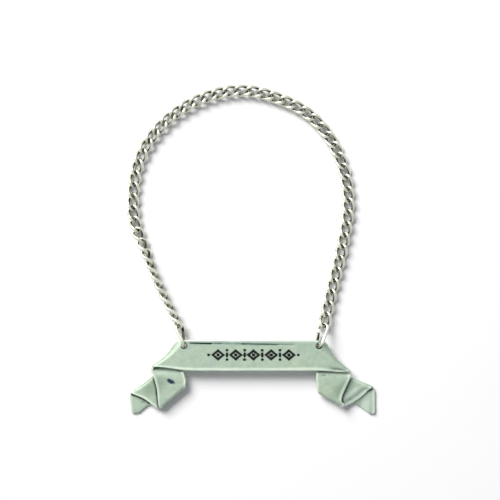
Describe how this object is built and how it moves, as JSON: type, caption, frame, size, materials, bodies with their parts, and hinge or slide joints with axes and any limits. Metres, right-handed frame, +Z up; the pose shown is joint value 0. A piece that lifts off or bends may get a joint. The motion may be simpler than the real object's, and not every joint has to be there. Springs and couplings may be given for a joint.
{
  "type": "decanter label",
  "caption": "Decanter label: a pewter ribbon banner with folded tails, hung by oval rings on a loop of curb chain that goes over a decanter's neck.",
  "frame": {"origin": "on the table that the label lies on, in the middle of its outline seen from above", "axes": "+X to the right along the lettering's line, +Y from the banner towards the top of the chain loop, +Z up, out of the banner's front"},
  "size_m": [0.075, 0.0998, 0.0056],
  "materials": {
    "pewter": "polished pewter, soft grey with a faint green cast",
    "chain_metal": "bright plated wire, slightly warm"
  },
  "bodies": {
    "banner": {"banner": "pewter"},
    "left_ring": {"left_ring": "chain_metal"},
    "link_01": {"link_01": "chain_metal"},
    "link_02": {"link_02": "chain_metal"},
    "link_03": {"link_03": "chain_metal"},
    "link_04": {"link_04": "chain_metal"},
    "link_05": {"link_05": "chain_metal"},
    "link_06": {"link_06": "chain_metal"},
    "link_07": {"link_07": "chain_metal"},
    "link_08": {"link_08": "chain_metal"},
    "link_09": {"link_09": "chain_metal"},
    "link_10": {"link_10": "chain_metal"},
    "link_11": {"link_11": "chain_metal"},
    "link_12": {"link_12": "chain_metal"},
    "link_13": {"link_13": "chain_metal"},
    "link_14": {"link_14": "chain_metal"},
    "link_15": {"link_15": "chain_metal"},
    "link_16": {"link_16": "chain_metal"},
    "link_17": {"link_17": "chain_metal"},
    "link_18": {"link_18": "chain_metal"},
    "link_19": {"link_19": "chain_metal"},
    "link_20": {"link_20": "chain_metal"},
    "link_21": {"link_21": "chain_metal"},
    "link_22": {"link_22": "chain_metal"},
    "link_23": {"link_23": "chain_metal"},
    "link_24": {"link_24": "chain_metal"},
    "link_25": {"link_25": "chain_metal"},
    "link_26": {"link_26": "chain_metal"},
    "link_27": {"link_27": "chain_metal"},
    "link_28": {"link_28": "chain_metal"},
    "link_29": {"link_29": "chain_metal"},
    "link_30": {"link_30": "chain_metal"},
    "link_31": {"link_31": "chain_metal"},
    "link_32": {"link_32": "chain_metal"},
    "link_33": {"link_33": "chain_metal"},
    "link_34": {"link_34": "chain_metal"},
    "link_35": {"link_35": "chain_metal"},
    "link_36": {"link_36": "chain_metal"},
    "link_37": {"link_37": "chain_metal"},
    "link_38": {"link_38": "chain_metal"},
    "link_39": {"link_39": "chain_metal"},
    "link_40": {"link_40": "chain_metal"},
    "link_41": {"link_41": "chain_metal"},
    "link_42": {"link_42": "chain_metal"},
    "link_43": {"link_43": "chain_metal"},
    "link_44": {"link_44": "chain_metal"},
    "link_45": {"link_45": "chain_metal"},
    "link_46": {"link_46": "chain_metal"},
    "link_47": {"link_47": "chain_metal"},
    "link_48": {"link_48": "chain_metal"},
    "link_49": {"link_49": "chain_metal"},
    "link_50": {"link_50": "chain_metal"},
    "link_51": {"link_51": "chain_metal"},
    "link_52": {"link_52": "chain_metal"},
    "right_ring": {"right_ring": "chain_metal"}
  },
  "joints": [
    {"name": "left_ring_hinge", "type": "hinge", "parent": "banner", "child": "left_ring", "pos_m": [-0.02009, -0.02875, 0.00375], "axis": [1, 0, 0], "range_deg": [-8, 22]},
    {"name": "right_ring_hinge", "type": "hinge", "parent": "banner", "child": "right_ring", "pos_m": [0.02031, -0.02875, 0.00375], "axis": [1, 0, 0], "range_deg": [-8, 22]},
    {"name": "link_01_hinge", "type": "hinge", "parent": "left_ring", "child": "link_01", "pos_m": [-0.02164, -0.0229, 0.00271], "axis": [-0.9999, -0.0023, 0.0146], "range_deg": [-26, 28]},
    {"name": "link_52_hinge", "type": "hinge", "parent": "right_ring", "child": "link_52", "pos_m": [0.02186, -0.0228, 0.00207], "axis": [-0.9999, -0.0023, 0.0146], "range_deg": [-26, 28]},
    {"name": "link_02_hinge", "type": "hinge", "parent": "link_01", "child": "link_02", "pos_m": [-0.02327, -0.01979, 0.0022], "axis": [0.9999, 0.009, -0.0139], "range_deg": [-28, 24]},
    {"name": "link_51_hinge", "type": "hinge", "parent": "link_52", "child": "link_51", "pos_m": [0.02263, -0.01938, 0.00157], "axis": [0.9999, 0.009, -0.0139], "range_deg": [-28, 24]},
    {"name": "link_03_hinge", "type": "hinge", "parent": "link_02", "child": "link_03", "pos_m": [-0.0249, -0.01668, 0.00195], "axis": [-0.9998, -0.015, 0.0132], "range_deg": [-26, 28]},
    {"name": "link_50_hinge", "type": "hinge", "parent": "link_51", "child": "link_50", "pos_m": [0.02341, -0.01596, 0.00131], "axis": [-0.9998, -0.015, 0.0132], "range_deg": [-26, 28]},
    {"name": "link_04_hinge", "type": "hinge", "parent": "link_03", "child": "link_04", "pos_m": [-0.02646, -0.01354, 0.00191], "axis": [0.9997, 0.0198, -0.0126], "range_deg": [-28, 28]},
    {"name": "link_49_hinge", "type": "hinge", "parent": "link_50", "child": "link_49", "pos_m": [0.02419, -0.01254, 0.00127], "axis": [0.9997, 0.0198, -0.0126], "range_deg": [-28, 28]},
    {"name": "link_05_hinge", "type": "hinge", "parent": "link_04", "child": "link_05", "pos_m": [-0.02794, -0.01037, 0.00191], "axis": [-0.9997, -0.0234, 0.012], "range_deg": [-28, 28]},
    {"name": "link_48_hinge", "type": "hinge", "parent": "link_49", "child": "link_48", "pos_m": [0.02501, -0.00913, 0.00127], "axis": [-0.9997, -0.0234, 0.012], "range_deg": [-28, 28]},
    {"name": "link_06_hinge", "type": "hinge", "parent": "link_05", "child": "link_06", "pos_m": [-0.02934, -0.00715, 0.00191], "axis": [0.9996, 0.0256, -0.0115], "range_deg": [-28, 28]},
    {"name": "link_47_hinge", "type": "hinge", "parent": "link_48", "child": "link_47", "pos_m": [0.02588, -0.00574, 0.00127], "axis": [0.9996, 0.0256, -0.0115], "range_deg": [-28, 28]},
    {"name": "link_07_hinge", "type": "hinge", "parent": "link_06", "child": "link_07", "pos_m": [-0.03062, -0.00389, 0.00197], "axis": [-0.9996, -0.0271, 0.0122], "range_deg": [-18, 28]},
    {"name": "link_46_hinge", "type": "hinge", "parent": "link_47", "child": "link_46", "pos_m": [0.02673, -0.00233, 0.00127], "axis": [-0.9996, -0.0271, 0.0122], "range_deg": [-18, 28]},
    {"name": "link_08_hinge", "type": "hinge", "parent": "link_07", "child": "link_08", "pos_m": [-0.03184, -0.0006, 0.00197], "axis": [0.9995, 0.0286, -0.0118], "range_deg": [-28, 18]},
    {"name": "link_45_hinge", "type": "hinge", "parent": "link_46", "child": "link_45", "pos_m": [0.02747, 0.00109, 0.00127], "axis": [0.9995, 0.0286, -0.0118], "range_deg": [-28, 18]},
    {"name": "link_09_hinge", "type": "hinge", "parent": "link_08", "child": "link_09", "pos_m": [-0.03309, 0.00267, 0.00193], "axis": [-0.9995, -0.0303, 0.0107], "range_deg": [-18, 28]},
    {"name": "link_44_hinge", "type": "hinge", "parent": "link_45", "child": "link_44", "pos_m": [0.02817, 0.00453, 0.00127], "axis": [-0.9995, -0.0303, 0.0107], "range_deg": [-18, 28]},
    {"name": "link_10_hinge", "type": "hinge", "parent": "link_09", "child": "link_10", "pos_m": [-0.03438, 0.00593, 0.00171], "axis": [0.9995, 0.0323, -0.007], "range_deg": [-28, 20]},
    {"name": "link_43_hinge", "type": "hinge", "parent": "link_44", "child": "link_43", "pos_m": [0.0288, 0.00798, 0.00127], "axis": [0.9995, 0.0323, -0.007], "range_deg": [-28, 20]},
    {"name": "link_11_hinge", "type": "hinge", "parent": "link_10", "child": "link_11", "pos_m": [-0.03527, 0.00932, 0.00152], "axis": [-0.9994, -0.0331, 0.0039], "range_deg": [-26, 28]},
    {"name": "link_42_hinge", "type": "hinge", "parent": "link_43", "child": "link_42", "pos_m": [0.02923, 0.01145, 0.00127], "axis": [-0.9994, -0.0331, 0.0039], "range_deg": [-26, 28]},
    {"name": "link_12_hinge", "type": "hinge", "parent": "link_11", "child": "link_12", "pos_m": [-0.03561, 0.01281, 0.00127], "axis": [0.9995, 0.0331, 0], "range_deg": [-28, 28]},
    {"name": "link_41_hinge", "type": "hinge", "parent": "link_42", "child": "link_41", "pos_m": [0.02932, 0.01496, 0.00127], "axis": [0.9995, 0.0331, 0], "range_deg": [-28, 28]},
    {"name": "link_13_hinge", "type": "hinge", "parent": "link_12", "child": "link_13", "pos_m": [-0.03556, 0.01631, 0.00127], "axis": [-0.9994, -0.0332, 0], "range_deg": [-28, 28]},
    {"name": "link_40_hinge", "type": "hinge", "parent": "link_41", "child": "link_40", "pos_m": [0.0291, 0.01846, 0.00127], "axis": [-0.9994, -0.0332, 0], "range_deg": [-28, 28]},
    {"name": "link_14_hinge", "type": "hinge", "parent": "link_13", "child": "link_14", "pos_m": [-0.0353, 0.01981, 0.00127], "axis": [0.9995, 0.033, 0], "range_deg": [-28, 28]},
    {"name": "link_39_hinge", "type": "hinge", "parent": "link_40", "child": "link_39", "pos_m": [0.02853, 0.02192, 0.00127], "axis": [0.9995, 0.033, 0], "range_deg": [-28, 28]},
    {"name": "link_15_hinge", "type": "hinge", "parent": "link_14", "child": "link_15", "pos_m": [-0.03478, 0.02327, 0.00127], "axis": [-0.9995, -0.0325, 0], "range_deg": [-28, 28]},
    {"name": "link_38_hinge", "type": "hinge", "parent": "link_39", "child": "link_38", "pos_m": [0.02763, 0.0253, 0.00127], "axis": [-0.9995, -0.0325, 0], "range_deg": [-28, 28]},
    {"name": "link_16_hinge", "type": "hinge", "parent": "link_15", "child": "link_16", "pos_m": [-0.03384, 0.02665, 0.00127], "axis": [0.9995, 0.0323, 0], "range_deg": [-26, 26]},
    {"name": "link_37_hinge", "type": "hinge", "parent": "link_38", "child": "link_37", "pos_m": [0.02643, 0.02859, 0.00127], "axis": [0.9995, 0.0323, 0], "range_deg": [-26, 26]},
    {"name": "link_17_hinge", "type": "hinge", "parent": "link_16", "child": "link_17", "pos_m": [-0.03246, 0.02987, 0.00127], "axis": [-0.9995, -0.0329, 0], "range_deg": [-26, 26]},
    {"name": "link_36_hinge", "type": "hinge", "parent": "link_37", "child": "link_36", "pos_m": [0.02491, 0.03175, 0.00127], "axis": [-0.9995, -0.0329, 0], "range_deg": [-26, 26]},
    {"name": "link_18_hinge", "type": "hinge", "parent": "link_17", "child": "link_18", "pos_m": [-0.03071, 0.03291, 0.00127], "axis": [0.9994, 0.0339, 0], "range_deg": [-26, 26]},
    {"name": "link_35_hinge", "type": "hinge", "parent": "link_36", "child": "link_35", "pos_m": [0.02306, 0.03473, 0.00127], "axis": [0.9994, 0.0339, 0], "range_deg": [-26, 26]},
    {"name": "link_19_hinge", "type": "hinge", "parent": "link_18", "child": "link_19", "pos_m": [-0.02863, 0.03573, 0.00127], "axis": [-0.9994, -0.0357, 0], "range_deg": [-24, 24]},
    {"name": "link_34_hinge", "type": "hinge", "parent": "link_35", "child": "link_34", "pos_m": [0.02091, 0.0375, 0.00127], "axis": [-0.9994, -0.0357, 0], "range_deg": [-24, 24]},
    {"name": "link_20_hinge", "type": "hinge", "parent": "link_19", "child": "link_20", "pos_m": [-0.02624, 0.03828, 0.00127], "axis": [0.9993, 0.0383, 0], "range_deg": [-24, 26]},
    {"name": "link_33_hinge", "type": "hinge", "parent": "link_34", "child": "link_33", "pos_m": [0.01846, 0.04, 0.00127], "axis": [0.9993, 0.0383, 0], "range_deg": [-24, 26]},
    {"name": "link_21_hinge", "type": "hinge", "parent": "link_20", "child": "link_21", "pos_m": [-0.02359, 0.04058, 0.00127], "axis": [-0.9992, -0.039, 0], "range_deg": [-26, 26]},
    {"name": "link_32_hinge", "type": "hinge", "parent": "link_33", "child": "link_32", "pos_m": [0.01566, 0.04211, 0.00127], "axis": [-0.9992, -0.039, 0], "range_deg": [-26, 26]},
    {"name": "link_22_hinge", "type": "hinge", "parent": "link_21", "child": "link_22", "pos_m": [-0.02073, 0.0426, 0.00127], "axis": [0.9994, 0.0359, 0], "range_deg": [-26, 26]},
    {"name": "link_31_hinge", "type": "hinge", "parent": "link_32", "child": "link_31", "pos_m": [0.01259, 0.0438, 0.00127], "axis": [0.9994, 0.0359, 0], "range_deg": [-26, 26]},
    {"name": "link_23_hinge", "type": "hinge", "parent": "link_22", "child": "link_23", "pos_m": [-0.01768, 0.04433, 0.00127], "axis": [-0.9995, -0.0318, 0], "range_deg": [-28, 26]},
    {"name": "link_30_hinge", "type": "hinge", "parent": "link_31", "child": "link_30", "pos_m": [0.00937, 0.04519, 0.00127], "axis": [-0.9995, -0.0318, 0], "range_deg": [-28, 26]},
    {"name": "link_24_hinge", "type": "hinge", "parent": "link_23", "child": "link_24", "pos_m": [-0.01448, 0.04576, 0.00127], "axis": [0.9995, 0.0311, 0], "range_deg": [-26, 26]},
    {"name": "link_29_hinge", "type": "hinge", "parent": "link_30", "child": "link_29", "pos_m": [0.00608, 0.0464, 0.00127], "axis": [0.9995, 0.0311, 0], "range_deg": [-26, 26]},
    {"name": "link_25_hinge", "type": "hinge", "parent": "link_24", "child": "link_25", "pos_m": [-0.01115, 0.04686, 0.00127], "axis": [-0.9993, -0.0366, 0], "range_deg": [-26, 26]},
    {"name": "link_28_hinge", "type": "hinge", "parent": "link_29", "child": "link_28", "pos_m": [0.00271, 0.04736, 0.00127], "axis": [-0.9993, -0.0366, 0], "range_deg": [-26, 26]},
    {"name": "link_26_hinge", "type": "hinge", "parent": "link_25", "child": "link_26", "pos_m": [-0.00773, 0.04761, 0.00127], "axis": [0.9989, 0.0473, 0], "range_deg": [-26, 26]},
    {"name": "link_27_hinge", "type": "hinge", "parent": "link_28", "child": "link_27", "pos_m": [-0.00074, 0.04795, 0.00127], "axis": [0.9989, 0.0473, 0], "range_deg": [-26, 26]}
  ],
  "couplings": [
    {"joint": "right_ring_hinge", "follows": "left_ring_hinge", "ratio": 1},
    {"joint": "link_52_hinge", "follows": "link_01_hinge", "ratio": 1},
    {"joint": "link_51_hinge", "follows": "link_02_hinge", "ratio": 1},
    {"joint": "link_50_hinge", "follows": "link_03_hinge", "ratio": 1},
    {"joint": "link_49_hinge", "follows": "link_04_hinge", "ratio": 1},
    {"joint": "link_48_hinge", "follows": "link_05_hinge", "ratio": 1},
    {"joint": "link_47_hinge", "follows": "link_06_hinge", "ratio": 1},
    {"joint": "link_46_hinge", "follows": "link_07_hinge", "ratio": 1},
    {"joint": "link_45_hinge", "follows": "link_08_hinge", "ratio": 1},
    {"joint": "link_44_hinge", "follows": "link_09_hinge", "ratio": 1},
    {"joint": "link_43_hinge", "follows": "link_10_hinge", "ratio": 1},
    {"joint": "link_42_hinge", "follows": "link_11_hinge", "ratio": 1},
    {"joint": "link_41_hinge", "follows": "link_12_hinge", "ratio": 1},
    {"joint": "link_40_hinge", "follows": "link_13_hinge", "ratio": 1},
    {"joint": "link_39_hinge", "follows": "link_14_hinge", "ratio": 1},
    {"joint": "link_38_hinge", "follows": "link_15_hinge", "ratio": 1},
    {"joint": "link_37_hinge", "follows": "link_16_hinge", "ratio": 1},
    {"joint": "link_36_hinge", "follows": "link_17_hinge", "ratio": 1},
    {"joint": "link_35_hinge", "follows": "link_18_hinge", "ratio": 1},
    {"joint": "link_34_hinge", "follows": "link_19_hinge", "ratio": 1},
    {"joint": "link_33_hinge", "follows": "link_20_hinge", "ratio": 1},
    {"joint": "link_32_hinge", "follows": "link_21_hinge", "ratio": 1},
    {"joint": "link_31_hinge", "follows": "link_22_hinge", "ratio": 1},
    {"joint": "link_30_hinge", "follows": "link_23_hinge", "ratio": 1},
    {"joint": "link_29_hinge", "follows": "link_24_hinge", "ratio": 1},
    {"joint": "link_28_hinge", "follows": "link_25_hinge", "ratio": 1},
    {"joint": "link_27_hinge", "follows": "link_26_hinge", "ratio": 1}
  ]
}
